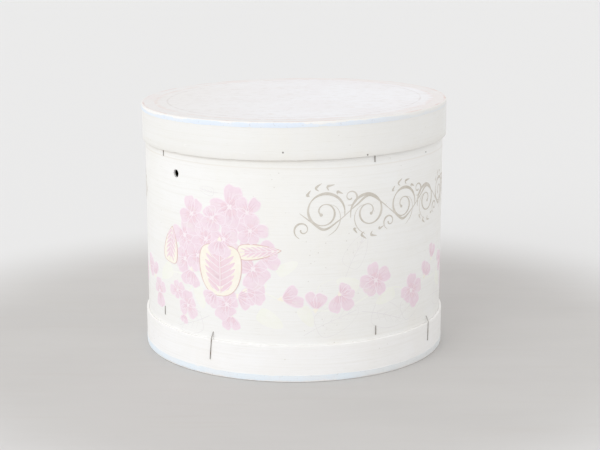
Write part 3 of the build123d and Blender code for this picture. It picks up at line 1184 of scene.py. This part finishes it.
def cut_cord_holes(wall):
    """Bores the cord holes through the wall, each with a worn, slightly flared mouth."""
    for i, spot in enumerate(CORD_HOLES):
        cutter = bpy.data.objects.new("bore", outward_mesh("bore", *bore_cutter(spot, i)))
        bpy.context.scene.collection.objects.link(cutter)
        cut = wall.modifiers.new("bore", "BOOLEAN")
        cut.object = cutter
        cut.solver = "EXACT"
        bpy.context.view_layer.update()
        bored = bpy.data.meshes.new_from_object(wall.evaluated_get(bpy.context.evaluated_depsgraph_get()))
        wall.modifiers.clear()
        wall.data = bored
        bpy.data.objects.remove(cutter)
    wall.data.shade_smooth()
    wall.data.set_sharp_from_angle(angle=math.radians(SHARP))


def leave_inside_bare(piece, ring, poplar):
    """Gives the faces on the inner half of the strip the unpainted wood."""
    piece.data.materials.append(poplar)
    for polygon in piece.data.polygons:
        if math.hypot(polygon.center.x, polygon.center.y) < (ring.inside + ring.outside) / 2:
            polygon.material_index = 1


def repaint(node, material):
    """Gives a CAD node that stays the material."""
    materials = frame["nodes"][node].data.materials
    materials.clear()
    materials.append(material)


def make_box_wood():
    poplar = bare_poplar("hoop_poplar")
    veneer = painted_veneer("painted_wall", WALL, 1.0, WALL_CREAM, 0.1, WALL_SPECKS, RUB_LINE)
    edge = wobble(20, 0.15 * MM)
    wall = bent_strip(WALL, WALL_LAP, WALL_WOBBLE, edge, edge, rows=24)
    piece = add_piece("wall_veneer", *wall, veneer, "box", replaces="wall", slot="painted_veneer")
    leave_inside_bare(piece, WALL, poplar)
    cut_cord_holes(piece)

    veneer = painted_veneer("painted_band", BAND, 31.0, BAND_CREAM_LIGHTENED, 0.06)
    top = worn(wobble(22, 0.4 * MM, (2, 3, 5, 9, 17)), nicks(21, 16, 0.7 * MM, 1.6))
    band = bent_strip(BAND, BAND_LAP, wobble(23, 0.12 * MM), straight, top)
    add_piece("base_band_veneer", *band, veneer, "box", replaces="base_band", slot="painted_veneer")

    for node, seed in (("inner_rim_hoop", 24), ("inner_base_hoop", 26)):
        ring = ring_of(node)
        ring = ring._replace(outside=ring.outside - LAP_LIP)  # the proud end just meets the wall
        uneven = wobble(seed, 0.3 * MM)
        hoop = bent_strip(ring, HOOP_LAPS[node], wobble(seed + 1, 0.05 * MM), uneven, uneven)
        add_piece(f"{node}_veneer", *hoop, poplar, "box", replaces=node, slot="bare_poplar")
    repaint("base_board", bare_poplar("base_board_poplar", around=False))


def make_lid():
    veneer = painted_veneer("painted_lid_rim", RIM, 61.0, LID_CREAM_DARKENED, 0.12, RIM_SPECKS, leaning=True)
    under = worn(wobble(32, 0.4 * MM, (2, 3, 5, 8, 15)), nicks(31, 14, 0.8 * MM, 1.8))
    rim = bent_strip(RIM, RIM_LAP, wobble(33, 0.1 * MM), under, straight, lean)
    piece = add_piece("lid_rim_veneer", *rim, veneer, "lid", replaces="lid_rim", slot="painted_veneer")
    leave_inside_bare(piece, RIM, bare_poplar("lid_rim_poplar"))

    poplar = bare_poplar("lid_board_poplar", around=False)
    board = round_board(LID_BOARD.outside, LID_BOARD.low, LID_BOARD.high, lambda x, y: 0.0, lean, rings=6)
    add_piece("lid_poplar_board", *board, poplar, "lid", "lid_board", "bare_poplar")
    paper = round_board(PAPER.outside + PAPER_SPREAD, PAPER.low, PAPER.high, paper_relief, lean, rings=90)
    add_piece("lid_paper_disc", *paper, lid_paper(), "lid", "lid_top_paper", "lid_paper")
    tape = corner_tape(LID_TAPE, 1, 40, lean)
    blue = gummed_tape("lid_tape_paper", LID_TAPE, 1, 5.0, LID_BLUE_DARKENED, 3.8 * MM, leaning=True)
    add_piece("lid_corner_tape", *tape, blue, "lid", "lid_edge_tape", "blue_tape")


def paper_relief(x, y):
    """Low bubbles where the paper was pasted down, and the groove of the pressed ring."""
    swell = 0.0
    for kx, ky, phase in RELIEF_WAVES:
        swell += 0.5 * math.sin(kx * x + ky * y + phase)
    groove = 0.06 * MM * math.exp(-(((math.hypot(x, y) - PRESSED_RING) / (0.8 * MM)) ** 2))
    return 0.07 * MM * swell - groove - 0.1 * MM


def make_base_tape():
    tape = corner_tape(BASE_TAPE, -1, 50)
    blue = gummed_tape("base_tape_paper", BASE_TAPE, -1, 25.0, BASE_BLUE_LIGHTENED, 2.0 * MM)
    add_piece("base_corner_tape", *tape, blue, "box", "base_edge_tape", "blue_tape")


def make_wire():
    wire = steel_wire()
    staples("base_band_stitches", "band_stitch_wire", wire, "box", tilts=(5.0, 1.6))
    for node, name in (
        ("inner_base_hoop_staples", "base_hoop_staple_wire"),
        ("inner_rim_hoop_staples", "rim_hoop_staple_wire"),
        ("wall_seam_staples", "wall_seam_staple_wire"),
        ("base_band_seam_staples", "band_seam_staple_wire"),
    ):
        staples(node, name, wire, "box")
    staples("lid_seam_staples", "lid_seam_staple_wire", wire, "lid", lean)
    repaint("base_board_brads", wire)
    brads = frame["nodes"]["lid_board_brads"].data
    verts = [lean(v.co) for v in brads.vertices]
    faces = [tuple(polygon.vertices) for polygon in brads.polygons]
    add_piece("lid_brad_wire", *welded(verts, faces), wire, "lid", "lid_board_brads", "steel_wire")


def lay(draw_one, inks, rows, layer=0, layers=1, first=0):
    """Draws something at each row's (angle, height, ...), on the layers in turn from the first."""
    for i, (angle, z, *rest) in enumerate(rows):
        Ink.layer = layer + (first + i) % layers
        draw_one(inks, (angle * ARC_PER_DEGREE, z), *rest)


def make_print():
    """The flower spray, its trailing blossoms, the scroll and the faint drawing behind them."""
    inks = {name: Ink(lift * MM) for name, (lift, *_) in INKS.items()}
    lay(pale_leaf, inks, PALE_LEAVES)
    lay(sketched_leaf, inks, SKETCHED_LEAVES)
    for points, widths in STEMS:
        inks["pale"].stroke([(angle * ARC_PER_DEGREE, z) for angle, z in points], widths)
    lay(blossom, inks, TRAILING_BLOSSOMS, layers=3)
    lay(bud, inks, TRAILING_BUDS, layers=3)
    lay(leaf, inks, SIDE_LEAVES, layer=3)
    lay(blossom, inks, SPRAY_BLOSSOMS, layers=5)
    lay(bud, inks, SPRAY_BUDS, layers=5, first=len(SPRAY_BLOSSOMS))
    lay(leaf, inks, MAIN_LEAF, layer=5)
    lay(bud, inks, FRONT_BUDS, layer=6)
    Ink.layer = 0
    scroll(inks["scroll"])
    for i, (name, (_, colour, second, fade)) in enumerate(INKS.items()):
        ink, finish = inks[name], ink_material(f"{name}_ink", colour, second, 3.0 * i, fade)
        slot = "painted_veneer"
        add_piece(f"print_{name}_ink", ink.verts, ink.faces, finish, "box", slot=slot, crease=60)


def make_stage():
    floor = bpy.data.meshes.new("floor")
    turns = [math.tau * i / FLOOR_SIDES for i in range(FLOOR_SIDES)]
    verts = [(r * math.cos(turn), r * math.sin(turn), 0) for r in FLOOR_RINGS for turn in turns]
    faces = [tuple(range(FLOOR_SIDES))]
    for start in range(0, len(verts) - FLOOR_SIDES, FLOOR_SIDES):
        faces += loop_quads(start, start + FLOOR_SIDES, FLOOR_SIDES)
    floor.from_pydata(verts, [], faces)
    floor.materials.append(pale_floor())
    piece = bpy.data.objects.new("floor", floor)
    bpy.context.scene.collection.objects.link(piece)


def make_lights():
    """Even light from all round, and a soft sun from the front left."""
    lamp = bpy.data.lights.new("window", "SUN")
    lamp.energy = SUN_STRENGTH
    lamp.angle = math.radians(45)
    lamp.color = SUN_COLOUR
    sun = bpy.data.objects.new("window", lamp)
    sun.rotation_euler = (Vector((0, 0, 0)) - SUN_FROM).to_track_quat("-Z", "Y").to_euler()
    bpy.context.scene.collection.objects.link(sun)
    world = bpy.data.worlds.new("studio")
    world.use_nodes = True
    world.node_tree.nodes["Background"].inputs["Color"].default_value = SKY_COLOUR
    world.node_tree.nodes["Background"].inputs["Strength"].default_value = SKY_STRENGTH
    bpy.context.scene.world = world
    bpy.context.scene.view_settings.view_transform = "Standard"


def make_camera():
    lens = bpy.data.cameras.new("camera")
    lens.lens = CAMERA_LENS
    lens.sensor_width = 36
    camera = bpy.data.objects.new("camera", lens)
    camera.location = CAMERA_PLACE
    camera.rotation_euler = (math.radians(90 - CAMERA_PITCH), 0, math.radians(-CAMERA_YAW))
    bpy.context.scene.collection.objects.link(camera)
    bpy.context.scene.camera = camera


make_camera()
make_lights()
make_stage()
make_box_wood()
make_base_tape()
make_lid()
make_wire()
make_print()
